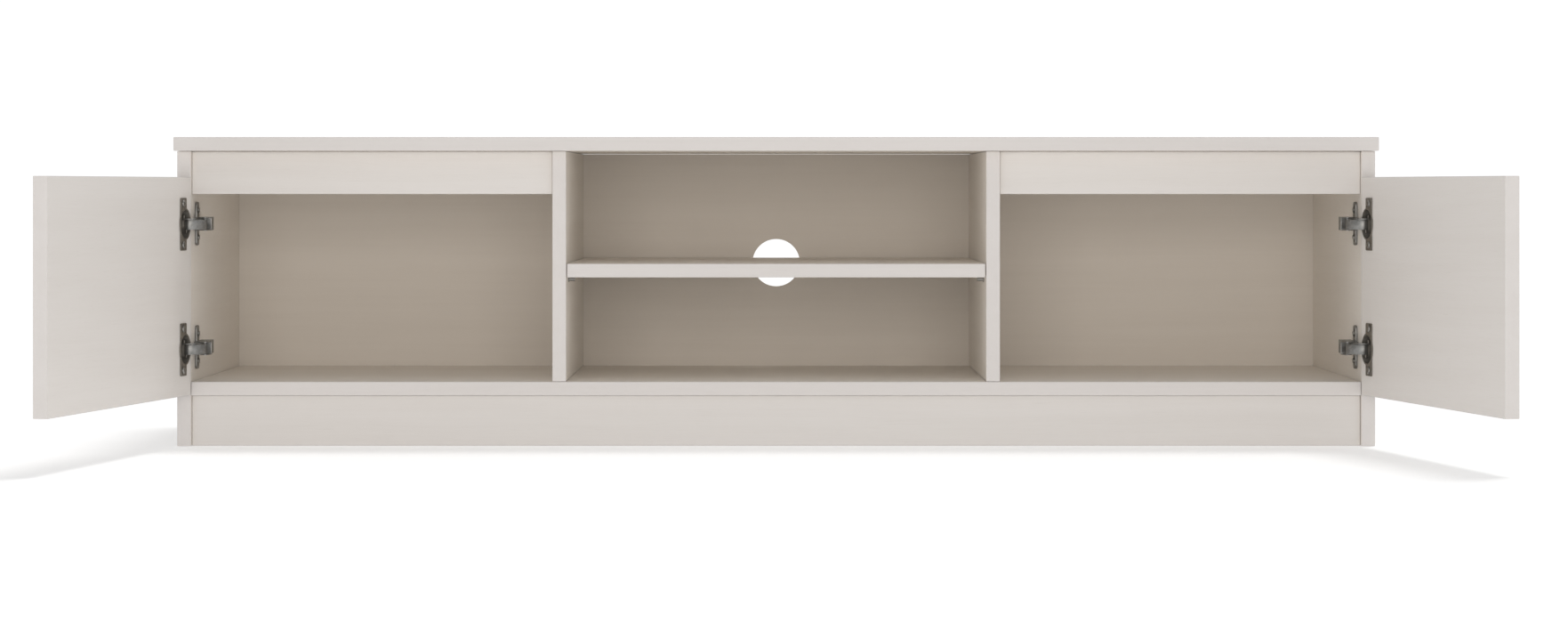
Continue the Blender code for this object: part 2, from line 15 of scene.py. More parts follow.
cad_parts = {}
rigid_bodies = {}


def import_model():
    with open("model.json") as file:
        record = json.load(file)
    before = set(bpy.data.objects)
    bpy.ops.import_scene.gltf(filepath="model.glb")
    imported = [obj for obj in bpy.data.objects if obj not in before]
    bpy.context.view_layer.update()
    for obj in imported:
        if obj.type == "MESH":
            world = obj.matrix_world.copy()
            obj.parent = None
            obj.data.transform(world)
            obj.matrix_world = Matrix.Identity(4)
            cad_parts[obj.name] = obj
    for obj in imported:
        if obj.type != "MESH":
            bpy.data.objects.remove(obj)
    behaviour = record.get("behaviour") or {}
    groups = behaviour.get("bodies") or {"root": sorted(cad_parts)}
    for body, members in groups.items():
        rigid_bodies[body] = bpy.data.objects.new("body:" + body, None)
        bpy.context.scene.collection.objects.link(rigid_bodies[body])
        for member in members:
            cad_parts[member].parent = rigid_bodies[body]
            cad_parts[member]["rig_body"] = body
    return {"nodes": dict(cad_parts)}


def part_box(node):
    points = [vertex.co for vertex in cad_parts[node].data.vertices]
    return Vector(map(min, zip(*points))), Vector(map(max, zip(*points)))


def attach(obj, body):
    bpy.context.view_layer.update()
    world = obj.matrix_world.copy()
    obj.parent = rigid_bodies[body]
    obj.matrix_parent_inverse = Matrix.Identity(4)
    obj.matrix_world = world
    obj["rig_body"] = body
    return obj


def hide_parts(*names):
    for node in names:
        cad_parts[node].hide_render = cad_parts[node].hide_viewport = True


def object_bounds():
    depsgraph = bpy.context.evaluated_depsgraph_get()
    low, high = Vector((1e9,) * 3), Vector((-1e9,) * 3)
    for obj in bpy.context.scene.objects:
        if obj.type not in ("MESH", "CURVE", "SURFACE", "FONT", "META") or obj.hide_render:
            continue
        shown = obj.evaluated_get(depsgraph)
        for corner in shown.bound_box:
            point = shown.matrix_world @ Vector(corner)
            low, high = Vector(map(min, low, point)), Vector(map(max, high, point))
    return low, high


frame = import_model()
CAD_BOX = [list(corner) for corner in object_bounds()]

bl_info = {
    "name": "TV stand with doors",
    "version": (1, 0, 0),
    "blender": (4, 5, 0),
    "location": "3D View > Sidebar > TV stand",
    "description": "Finishes and hardware of a low TV stand with two doors",
    "category": "Object",
}

MM = 0.001
WELD = 0.001 * MM                   # points closer than this are one point
THROUGH = 30 * MM                   # reach of cutters that go right through a hinge piece
SHY = 0.01 * MM                     # keeps a corner's rounding just under half of its side
BEVEL_ANGLE = math.radians(35)      # edges sharper than this are rounded
HINGES = [f"{side}_{level}" for side in ("left", "right") for level in ("upper", "lower")]
SIDES = {"left": -1, "right": 1}

# Pieces of board: the axis that the grain runs along, the axis through the thickness, and which way along
# that axis the inside of the cabinet lies, or 0 where both faces are inside
# The inside faces are painted a lighter copy of the laminate than the outside ones, as painted light in the
# bays.
CARCASS = {
    "top_panel": (0, 2, -1),
    "bottom_panel": (0, 2, 1),
    "middle_shelf": (0, 2, 0),
    "front_plinth": (0, 1, 1),
    "left_front_rail": (0, 1, 1),
    "right_front_rail": (0, 1, 1),
    "left_side_panel": (1, 0, 1),
    "right_side_panel": (1, 0, -1),
    "left_divider": (1, 0, 0),
    "right_divider": (1, 0, 0),
}
DOOR = (0, 1, 1)

# The grain's layers: how far each one is drawn out along the grain, and its noise scale times its width
FIGURE = (26.0, 39 * MM)
LINE = (48.0, 20.8 * MM)
PORE = (40.0, 25.2 * MM)
PRINTED_FIGURE = (30.0, 1.4)        # the same layers as printed on the back, with their noise scales
PRINTED_LINE = (48.0, 8.0)
FIGURE_RANGE = (0.30, 0.72)         # of the noise, from no streak to a full one
LINE_RANGE = (0.35, 0.70)

# Studio
FLOOR_HALF = 7.0
FLOOR_GAP = 0.2 * MM                # under the stand
AIM = Vector((0, 0, 0.18))          # of the soft boxes
TOP_LIGHT_WAY = Vector((-0.22, -0.24, -1))
TOP_LIGHT_ANGLE = math.radians(16)
FILL = ((2.6, 1.4), (-0.1, -4.6, 0.62))     # size and place
KEY = ((1.6, 1.6), (2.2, -2.4, 1.3))

# Screws
SCREW_SIDES = 28
SCREW_CORE = 1.25 * MM              # radius
THREAD_START = 0.8 * MM             # below the head
THREAD_ENDS = 2.6 * MM              # length of a screw without thread
POINT_LENGTH = 1.2 * MM
RECESS_TAPER = 0.62
RECESS_TURN = math.radians(23)
SCREW_CREASE = math.radians(32)     # edges sharper than this stay sharp
PIN_EDGE = 0.3 * MM                 # rounding of the shelf pins
HEAD = ((0, 1), (0.30, 1), (0.62, 0.94), (0.84, 0.76), (0.97, 0.45), (1, 0.20), (1, 0))  # radii and heights


def colour_property(name, description, default):
    return FloatVectorProperty(name=name, description=description, default=default, size=3,
                               min=0, max=1, subtype="COLOR")


def length_property(name, description, millimetres):
    return FloatProperty(name=name, description=description, default=millimetres * MM, min=0,
                         unit="LENGTH", subtype="DISTANCE", precision=5)


class BoardSettings(bpy.types.PropertyGroup):
    """Look of the laminated board."""

    # Outside, inside, door inside and back are one laminate: the outside faces and edge bands carry a darker
    # copy, and the faces in the bays and behind the doors lighter copies, as painted light.
    outside: colour_property("Outside", "Colour of the laminate outside", (0.700, 0.672, 0.648))
    inside: colour_property("Inside", "Colour of the laminate inside", (0.890, 0.840, 0.775))
    # The doors' inner faces: the laminate painted lighter, as painted light.
    door_inside_painted_lighter: colour_property("Door inside", "Colour of the doors' inner faces", (0.775, 0.742, 0.712))
    streak: colour_property("Streak", "What the darker streaks of the grain leave of the colour",
                            (0.935, 0.925, 0.915))
    pore: colour_property("Pore", "What an embossed pore leaves of the colour", (0.74, 0.70, 0.66))
    band: colour_property("Edge band", "Colour of the edge banding", (0.680, 0.652, 0.635))
    # The back's print: the laminate painted lighter, as painted light in the bays.
    back: colour_property("Back", "Colour of the back panel", (0.775, 0.722, 0.658))
    core: colour_property("Core", "Colour of the bare fibreboard", (0.330, 0.230, 0.150))
    band_thickness: length_property("Edge band", "Thickness of the edge banding", 0.8)
    seam: length_property("Seam", "Width of the glue line beside the edge banding", 0.12)
    figure: length_property("Figure", "Width of the broad streaks", 26)
    line: length_property("Line", "Width of the fine lines of the grain", 2.6)
    grain: length_property("Pore", "Width of an embossed pore", 0.7)


class SteelSettings(bpy.types.PropertyGroup):
    """Look and details of the hinges and their fasteners."""

    plated: colour_property("Plated steel", "Colour of the arms, plates and links", (0.300, 0.300, 0.292))
    pressed: colour_property("Pressed steel", "Colour of the cups", (0.290, 0.272, 0.245))
    zinc: colour_property("Zinc", "Colour of the screws and shelf pins", (0.330, 0.322, 0.305))
    edge: length_property("Edge", "Rounding of the steel's edges", 0.22)
    recess_width: length_property("Recess width", "Width of each slot of a screw's cross recess", 0.85)
    recess_reach: length_property("Recess reach", "Length of each slot from the middle", 1.9)
    recess_depth: length_property("Recess depth", "Depth of the cross recess", 1.1)
    thread_pitch: length_property("Thread pitch", "Distance between two turns of the thread", 1.5)
    thread_height: length_property("Thread height", "Height of the thread over the core", 0.42)
    plate_width: length_property("Plate width", "Width of the mounting plates' wings", 17)
    plate_height: length_property("Plate height", "Height over both wings", 51)
    plate_round: length_property("Plate rounding", "Rounding of the wings' corners", 6)
    plate_screws: length_property("Plate screws", "Distance between a plate's two screws", 32)
    block_height: length_property("Block height", "Height of the block under the arm", 13.6)
    slot_width: length_property("Slot width", "Width of the slots under the screws", 4.4)
    slot_length: length_property("Slot length", "Length of the slots in the wings", 11)
    arm_slot: length_property("Arm slot", "Length of the slot behind the arm's screw", 16)
    lip_sheet: length_property("Lip sheet", "Thickness of the lip folded down behind the links", 0.9)
    lip_width: length_property("Lip width", "Width of the lip, into both cheeks", 14.4)
    lip_depth: length_property("Lip depth", "Depth of the lip below the arm's top", 8.4)
    lip_low: length_property("Lip foot", "Foot of the lip over the arm's middle", 0.3)
    lip_place: length_property("Lip place", "Lip in front of the arm's middle", 10)
    flange_width: length_property("Flange width", "Width of the cups' screw flanges", 21.6)
    flange_height: length_property("Flange height", "Height over a flange's two ears", 61)
    flange_round: length_property("Flange rounding", "Rounding of the flange's corners", 3)
    flange_offset: length_property("Flange offset", "Middle of a flange from the middle of its cup", 6)
    rim: length_property("Rim", "Diameter that a cup's rim fits within", 37.6)


class StudioSettings(bpy.types.PropertyGroup):
    """Floor, light and camera."""

    floor: colour_property("Floor", "Colour of the floor", (0.90, 0.90, 0.90))
    glow: FloatProperty(name="Floor glow", description="Light that the floor itself gives",
                        default=0.27, min=0)
    sky: FloatProperty(name="Sky", description="Strength of the even light all round", default=0.58, min=0)
    backdrop: FloatProperty(name="Backdrop", description="Brightness of the backdrop", default=1.05, min=0)
    fill: FloatProperty(name="Fill light", description="Power of the large soft box in front", default=45,
                        min=0, unit="POWER")
    warmth: colour_property("Fill colour", "Colour of the light in front", (1.0, 0.94, 0.87))
    key: FloatProperty(name="Key light", description="Power of the soft box on the right", default=1,
                       min=0, unit="POWER")
    sun: FloatProperty(name="Top light", description="Strength of the light over the back", default=0.9,
                       min=0)
    camera_height: length_property("Camera height", "Height of the camera over the floor", 301)
    camera_distance: length_property("Camera distance", "Camera to the front edges of the sides", 4210)
    lens: FloatProperty(name="Lens", description="Focal length", default=82.9, min=1, unit="CAMERA")
    shift: FloatVectorProperty(name="Shift", description="Shift of the lens", default=(0.005, -0.0788),
                               size=2)


class StandSettings(bpy.types.PropertyGroup):
    """Everything that the TV stand's operators read."""

    open_angle: FloatProperty(name="Open angle", description="Angle at which the doors stand",
                              default=math.radians(100), subtype="ANGLE", unit="ROTATION")
    board: PointerProperty(type=BoardSettings)
    steel: PointerProperty(type=SteelSettings)
    studio: PointerProperty(type=StudioSettings)


class Value:
    """An output of a shader node that takes part in plain arithmetic."""

    def __init__(self, finish, socket):
        self.finish = finish
        self.socket = socket

    def math(self, operation, *others):
        inputs = dict(enumerate((self, *others)))
        return self.finish.add("ShaderNodeMath", {"operation": operation}, inputs)

    def __add__(self, other):
        return self.math("ADD", other)

    def __sub__(self, other):
        return self.math("SUBTRACT", other)

    def __rsub__(self, other):
        return self.finish.add("ShaderNodeMath", {"operation": "SUBTRACT"}, {0: other, 1: self})

    def __mul__(self, other):
        return self.math("MULTIPLY", other)

    def __lt__(self, other):
        return self.math("LESS_THAN", other)

    def __gt__(self, other):
        return self.math("GREATER_THAN", other)

    def __abs__(self):
        return self.math("ABSOLUTE")

    __radd__ = __add__
    __rmul__ = __mul__

    def lower(self, other):
        return self.math("MINIMUM", other)

    def higher(self, other):
        return self.math("MAXIMUM", other)

    def fade(self, start, end):
        """0 at start and 1 at end, level outside them."""
        settings = {"interpolation_type": "SMOOTHSTEP", "clamp": True}
        inputs = {"Value": self, "From Min": min(start, end), "From Max": max(start, end),
                  "To Min": float(start > end), "To Max": float(start < end)}
        return self.finish.add("ShaderNodeMapRange", settings, inputs)


class Finish:
    """A material and the nodes that make it."""

    def __init__(self, name):
        self.material = bpy.data.materials.new(name)
        self.material.use_nodes = True
        self.tree = self.material.node_tree
        self.shader = self.tree.nodes["Principled BSDF"]

    def add(self, kind, settings=None, inputs=None, output=0):
        """A node of a kind: first its settings, then its sockets' values or links."""
        node = self.tree.nodes.new(kind)
        for name, setting in (settings or {}).items():
            setattr(node, name, setting)
        for key, value in (inputs or {}).items():
            if isinstance(value, Value):
                self.tree.links.new(value.socket, node.inputs[key])
            else:
                node.inputs[key].default_value = value
        return Value(self, node.outputs[output])

    def place(self):
        return self.add("ShaderNodeTexCoord", output="Object")

    def moved(self, vector, location=(0, 0, 0), turn=0.0, scale=(1, 1, 1)):
        inputs = {"Vector": vector, "Location": location, "Rotation": (0, 0, turn), "Scale": scale}
        return self.add("ShaderNodeMapping", {"vector_type": "POINT"}, inputs)

    def split(self, vector):
        node = self.add("ShaderNodeSeparateXYZ", {}, {"Vector": vector}).socket.node
        return [Value(self, output) for output in node.outputs]

    def noise(self, vector, scale, detail=3.0, roughness=0.5):
        inputs = {"Vector": vector, "Scale": scale, "Detail": detail, "Roughness": roughness}
        return self.add("ShaderNodeTexNoise", {}, inputs)

    def drawn(self, vector, axis, stretch, scale, detail, roughness):
        """Noise that is drawn out along an axis."""
        across = [1.0 if number == axis else stretch for number in range(3)]
        return self.noise(self.moved(vector, scale=across), scale, detail, roughness)

    def mix(self, factor, first, second):
        """Between two colours."""
        first, second = (colour if isinstance(colour, Value) else (*colour, 1) for colour in (first, second))
        return self.add("ShaderNodeMix", {"data_type": "RGBA"}, {0: factor, 6: first, 7: second}, 2)

    def tinted(self, colour, factor, tint):
        """A colour multiplied by a tint where the factor is 1."""
        settings = {"data_type": "RGBA", "blend_type": "MULTIPLY"}
        colour = colour if isinstance(colour, Value) else (*colour, 1)
        return self.add("ShaderNodeMix", settings, {0: factor, 6: colour, 7: (*tint, 1)}, 2)

    def bump(self, height, distance, strength=1.0):
        return self.add("ShaderNodeBump", {}, {"Height": height, "Distance": distance, "Strength": strength})

    def shade(self, **values):
        """Sets or links the shader's sockets; a name's underscores stand for spaces."""
        for name, value in values.items():
            socket = self.shader.inputs[name.replace("_", " ").title().replace("Ior", "IOR")]
            if isinstance(value, Value):
                self.tree.links.new(value.socket, socket)
            else:
                socket.default_value = (*value, 1) if isinstance(value, tuple) and len(value) == 3 else value
        return self.material


def put_on(obj, material):
    obj.data.materials.clear()
    obj.data.materials.append(material)
    for face in obj.data.polygons:
        face.material_index = 0


def own_box(node, turn):
    """Middle and half size of a CAD node in its own frame, which is turned about Z by an angle."""
    back = Matrix.Rotation(-turn, 3, "Z")
    points = np.array([back @ vertex.co for vertex in frame["nodes"][node].data.vertices])
    low, high = points.min(0), points.max(0)
    return Vector((low + high) / 2), Vector((high - low) / 2)


def board_finish(node, lie, colours, inside, turn=0.0):
    """Laminate with a streaked, embossed grain, edge banding with its glue line, and worn arrises; its inside
    faces are painted a lighter copy of the laminate, as painted light.
    """
    grain_axis, thin_axis, inner = lie
    middle, half = own_box(node, turn)
    finish = Finish(f"board_{node}")
    own = finish.moved(finish.place(), location=-middle, turn=-turn)
    places = finish.split(own)
    depths = [size - abs(value) for size, value in zip(half, places)]
    wide = [depth for axis, depth in enumerate(depths) if axis != thin_axis]
    rim = wide[0].lower(wide[1])
    arris = wide[0].higher(wide[1]).lower(rim.higher(depths[thin_axis]))

    offset = finish.moved(own, location=(middle.x * 7, middle.y * 11, middle.z * 13))
    warp = finish.noise(offset, 2.2, 2) * 0.02
    swayed = finish.add("ShaderNodeVectorMath", {"operation": "ADD"}, {0: offset, 1: warp})
    stretch, run = FIGURE
    figure = finish.drawn(swayed, grain_axis, stretch, run / colours.figure, 4, 0.6)
    stretch, run = LINE
    line = finish.drawn(swayed, grain_axis, stretch, run / colours.line, 3, 0.55)
    stretch, run = PORE
    pore = finish.drawn(swayed, grain_axis, stretch, run / colours.grain, 2, 0.6).fade(0.60, 0.70)
    cloud = finish.noise(offset, 5.0, 2)

    tint = figure.fade(*FIGURE_RANGE) * 0.42 + line.fade(*LINE_RANGE) * 0.14
    # Faces towards the inside take the inside colour, a lighter copy of the laminate: painted light in the
    # bays.
    within = places[thin_axis] * inner > (-1.0 if inner == 0 else 0.0)
    plain = finish.mix(within, tuple(colours.outside), tuple(inside))
    plain = finish.mix(rim < colours.band_thickness, plain, tuple(colours.band))
    seam = abs(rim - colours.band_thickness).fade(colours.seam, 0.0)
    colour = finish.tinted(plain, tint, tuple(colours.streak))
    colour = finish.tinted(colour, (pore * 0.10).higher(seam * 0.25), tuple(colours.pore))
    scuff = finish.noise(offset, 140.0, 3, 0.65).fade(0.45, 0.75)
    wear = arris.fade(1.1 * MM, 0.2 * MM) * scuff
    colour = finish.mix(wear * 0.35, colour, (0.80, 0.77, 0.74))

    smooth = 0.42 + cloud * 0.10 + pore * 0.08 + wear * 0.15
    relief = line * 0.12 - pore * 0.3 - seam * 1.0
    normal = finish.bump(relief, 0.05 * MM, 0.35)
    return finish.shade(base_color=colour, roughness=smooth, normal=normal, specular_ior_level=0.38)


def back_finish(node, colours):
    """Thin printed fibreboard: a faint print of the same grain on the front, bare edges and back."""
    middle, half = own_box(node, 0.0)
    finish = Finish("printed_back")
    own = finish.moved(finish.place(), location=-middle)
    through = finish.split(own)[1]
    hidden = through > (half.y - 0.05 * MM)
    edge = abs(through) < (half.y - 0.25 * MM)
    bare = hidden.higher(edge)
    figure = finish.drawn(own, 0, *PRINTED_FIGURE, 4, 0.6).fade(*FIGURE_RANGE)
    line = finish.drawn(own, 0, *PRINTED_LINE, 3, 0.55).fade(*LINE_RANGE)
    fibre = finish.noise(own, 900.0, 4, 0.7)
    fleck = finish.noise(finish.moved(own, scale=(1, 1, 2.5)), 260.0, 3, 0.6).fade(0.45, 0.65)
    # The print's colour is a lighter copy of the laminate: painted light in the bays.
    printed = finish.tinted(tuple(colours.back), figure * 0.40 + line * 0.12, tuple(colours.streak))
    board = finish.mix(fleck * 0.6, tuple(colours.core), (0.42, 0.31, 0.21))
    colour = finish.mix(bare, printed, board)
    roughness = 0.50 + fibre * 0.10 + bare * 0.22
    normal = finish.bump(fibre * (0.25 + bare * 0.9) + line * 0.15, 0.08 * MM, 0.5)
    return finish.shade(base_color=colour, roughness=roughness, normal=normal, specular_ior_level=0.32)


def steel_finish(name, colour, roughness, brushed=2.0, tarnish=0.25):
    """Plated sheet steel with rolling marks, stains and bright worn edges."""
    finish = Finish(name)
    place = finish.place()
    rolled = finish.noise(finish.moved(place, scale=(1, 1, brushed)), 1500.0, 3, 0.6)
    stain = finish.noise(place, 170.0, 4, 0.6)
    speck = finish.noise(place, 2600.0, 2, 0.5)
    rounded = finish.add("ShaderNodeBevel", {"samples": 4}, {"Radius": 0.35 * MM})
    flat = finish.add("ShaderNodeNewGeometry", output="Normal")
    turned = finish.add("ShaderNodeVectorMath", {"operation": "DOT_PRODUCT"}, {0: rounded, 1: flat}, "Value")
    edge = turned.fade(0.995, 0.86)
    dark = tuple(part * (1 - tarnish) for part in colour)
    light = tuple(min(1.0, part * 1.9 + 0.05) for part in colour)
    tone = finish.mix(stain.fade(0.35, 0.68), tuple(colour), dark)
    tone = finish.mix(edge * (0.35 + speck * 0.5), tone, light)
    smooth = roughness + rolled * 0.14 + stain * 0.10 - edge * 0.10
    normal = finish.bump(rolled * 0.6 + speck * 0.4, 0.012 * MM, 0.6)
    return finish.shade(base_color=tone, roughness=smooth, normal=normal, metallic=1.0)


def soften(obj, width):
    """Rounds a piece's sharp edges and evens out its shading."""
    bevel = obj.modifiers.new("Rounded edges", "BEVEL")
    bevel.width = width
    bevel.segments = 2
    bevel.limit_method = "ANGLE"
    bevel.angle_limit = BEVEL_ANGLE
    bevel.use_clamp_overlap = True
    bevel.harden_normals = True
    obj.data.shade_smooth()
    return obj


def stand_in(obj, node, material):
    """Puts a finished piece in a CAD piece's place, on the same body."""
    put_on(obj, material)
    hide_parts(node)
    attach(obj, frame["nodes"][node]["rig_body"])
    return obj


def mesh_object(name, work):
    mesh = bpy.data.meshes.new(name)
    work.to_mesh(mesh)
    work.free()
    obj = bpy.data.objects.new(name, mesh)
    bpy.context.scene.collection.objects.link(obj)
    return obj


def baked(obj):
    """Turns an object's modifiers into mesh, and drops the objects that they cut with."""
    cutters = [m.object for m in obj.modifiers if m.type == "BOOLEAN"]
    bpy.context.view_layer.update()
    made = bpy.data.meshes.new_from_object(obj.evaluated_get(bpy.context.evaluated_depsgraph_get()))
    obj.modifiers.clear()
    obj.data = made
    for cutter in cutters:
        bpy.data.objects.remove(cutter)
    return obj


def cut_with(obj, cutter, operation="DIFFERENCE"):
    boolean = obj.modifiers.new("Cut", "BOOLEAN")
    boolean.operation = operation
    boolean.solver = "EXACT"
    boolean.use_self = True
    boolean.object = cutter
    cutter.hide_render = True


def turned_mesh(profile, steps):
    """A closed mesh from a profile of (radius, height) turned about Z; it starts and ends on the axis."""
    work = bmesh.new()
    rings = []
    for radius, height in profile:
        if radius == 0:
            rings.append([work.verts.new((0, 0, height))])
            continue
        angles = [math.tau * step / steps for step in range(steps)]
        rings.append([work.verts.new((radius * math.cos(a), radius * math.sin(a), height)) for a in angles])
    for low, high in zip(rings, rings[1:]):
        for step in range(steps):
            ahead = (step + 1) % steps
            corners = [low[step % len(low)], low[ahead % len(low)], high[ahead % len(high)],
                       high[step % len(high)]]
            work.faces.new(list(dict.fromkeys(corners)))
    bmesh.ops.recalc_face_normals(work, faces=work.faces)
    return work


def long_axis(node):
    """Where a CAD screw stands: a matrix from its head's seat, Z out of the head, and its sizes.

    The sizes are its head's radius, its head's height and the length under the head.
    """
    points = np.array([vertex.co for vertex in frame["nodes"][node].data.vertices])
    middle = (points.max(0) + points.min(0)) / 2
    centred = points - points.mean(0)
    axis = np.linalg.svd(centred, full_matrices=False)[2][0]
    along = (points - middle) @ axis
    radial = np.linalg.norm((points - middle) - np.outer(along, axis), axis=1)
    wide = radial > radial.max() * 0.98
    if along[wide].mean() < 0:
        axis, along = -axis, -along
    seat = along[wide].min()
    out = Vector(axis)
    turn = out.to_track_quat("Z", "Y").to_matrix().to_4x4()
    place = Matrix.Translation(Vector(middle) + out * seat) @ turn
    return place, radial.max(), along.max() - seat, seat - along.min()


def cross_recess(reach, width, depth, top):
    """A tapered cross that cuts the driver's recess into a screw's head."""
    work = bmesh.new()
    for turn in (0, math.pi / 2):
        made = bmesh.ops.create_cube(work, size=1)["verts"]
        for vertex in made:
            low = vertex.co.z < 0
            taper = RECESS_TAPER if low else 1.0
            vertex.co = Vector((vertex.co.x * 2 * reach * taper, vertex.co.y * width * taper,
                                top - depth if low else top + depth))
        bmesh.ops.rotate(work, verts=made, cent=(0, 0, 0), matrix=Matrix.Rotation(turn, 3, "Z"))
    return mesh_object("recess", work)


def make_screw(node, steel, material):
    """A pan-head screw with a cross recess and a cut thread, in place of a CAD screw."""
    place, radius, height, length = long_axis(node)
    core, pitch = SCREW_CORE, steel.thread_pitch
    crest = core + steel.thread_height
    head = [(radius * across, height * up) for across, up in HEAD] + [(core, 0.0)]
    thread = []
    for number in range(int((length - THREAD_ENDS) / pitch)):
        top = -THREAD_START - number * pitch
        thread += [(core, top), (crest, top - pitch * 0.35), (crest, top - pitch * 0.45),
                   (core, top - pitch * 0.8)]
    point = [(core * 0.9, -length + POINT_LENGTH), (core * 0.35, -length + POINT_LENGTH / 6), (0, -length)]
    obj = mesh_object(node + "_detail", turned_mesh(head + thread + point, SCREW_SIDES))
    cut_with(obj, cross_recess(steel.recess_reach, steel.recess_width, steel.recess_depth, height))
    baked(obj)
    obj.data.transform(place @ Matrix.Rotation(RECESS_TURN, 4, "Z"))
    obj.data.shade_smooth()
    obj.data.set_sharp_from_angle(angle=SCREW_CREASE)
    return stand_in(obj, node, material)


def rounded(width, height, radius, steps=6):
    """Points of an upright rounded rectangle round the origin."""
    points = []
    for number, (x, y) in enumerate(((1, 1), (-1, 1), (-1, -1), (1, -1))):
        for step in range(steps + 1):
            angle = math.pi / 2 * (number + step / steps)
            points.append((x * (width / 2 - radius) + radius * math.cos(angle),
                           y * (height / 2 - radius) + radius * math.sin(angle)))
    return points


def slab(work, place, points, low, high, shift):
    """Adds an outline, shifted and extruded from low to high, to a mesh in a place's frame."""
    rings = [[work.verts.new(place @ Vector((x + shift[0], y + shift[1], z))) for x, y in points]
             for z in (low, high)]
    work.faces.new(rings[0])
    work.faces.new(rings[1])
    for number in range(len(points)):
        ahead = (number + 1) % len(points)
        work.faces.new((rings[0][number], rings[0][ahead], rings[1][ahead], rings[1][number]))


def cutter_of(place, slabs):
    """One cutter from several extruded outlines: (points, low, high, shift)."""
    work = bmesh.new()
    for points, low, high, shift in slabs:
        slab(work, place, points, low, high, shift)
    bmesh.ops.recalc_face_normals(work, faces=work.faces)
    return mesh_object("cutter", work)


def rework(node, edge, material, place=None, changes=()):
    """A copy of a CAD piece with finer outlines, slots and folds and rounded edges, which replaces the piece.

    Each change is a Boolean operation and the extruded outlines that it works with, in a place's frame.
    """
    work = bmesh.new()
    work.from_mesh(frame["nodes"][node].data)
    bmesh.ops.remove_doubles(work, verts=work.verts, dist=WELD)
    obj = mesh_object(node + "_detail", work)
    for operation, slabs in changes:
        cut_with(obj, cutter_of(place, slabs), operation)
    return stand_in(soften(baked(obj), edge), node, material)


class StandOperator:
    """What the stand's operators share."""

    bl_options = {"REGISTER", "UNDO"}

    @property
    def settings(self):
        return bpy.context.scene.tv_stand


class STAND_OT_carcass(StandOperator, bpy.types.Operator):
    """Finish the boards of the carcass: top, bottom, sides, dividers, shelf, rails and plinth"""

    bl_idname = "stand.carcass"
    bl_label = "Carcass boards"

    def execute(self, context):
        board = self.settings.board
        for node, lie in CARCASS.items():
            put_on(frame["nodes"][node], board_finish(node, lie, board, board.inside))
        return {"FINISHED"}


class STAND_OT_doors(StandOperator, bpy.types.Operator):
    """Finish the two doors, with the grain along their width"""

    bl_idname = "stand.doors"
    bl_label = "Doors"

    def execute(self, context):
        board = self.settings.board
        for side, sign in SIDES.items():
            node = f"{side}_door"
            # The doors' inner faces take a lighter painted copy of the laminate: painted light.
            finish = board_finish(node, DOOR, board, board.door_inside_painted_lighter, sign * self.settings.open_angle)
            put_on(frame["nodes"][node], finish)
        return {"FINISHED"}


class STAND_OT_back(StandOperator, bpy.types.Operator):
    """Finish the thin back panel"""

    bl_idname = "stand.back"
    bl_label = "Back panel"

    def execute(self, context):
        put_on(frame["nodes"]["back_panel"], back_finish("back_panel", self.settings.board))
        return {"FINISHED"}


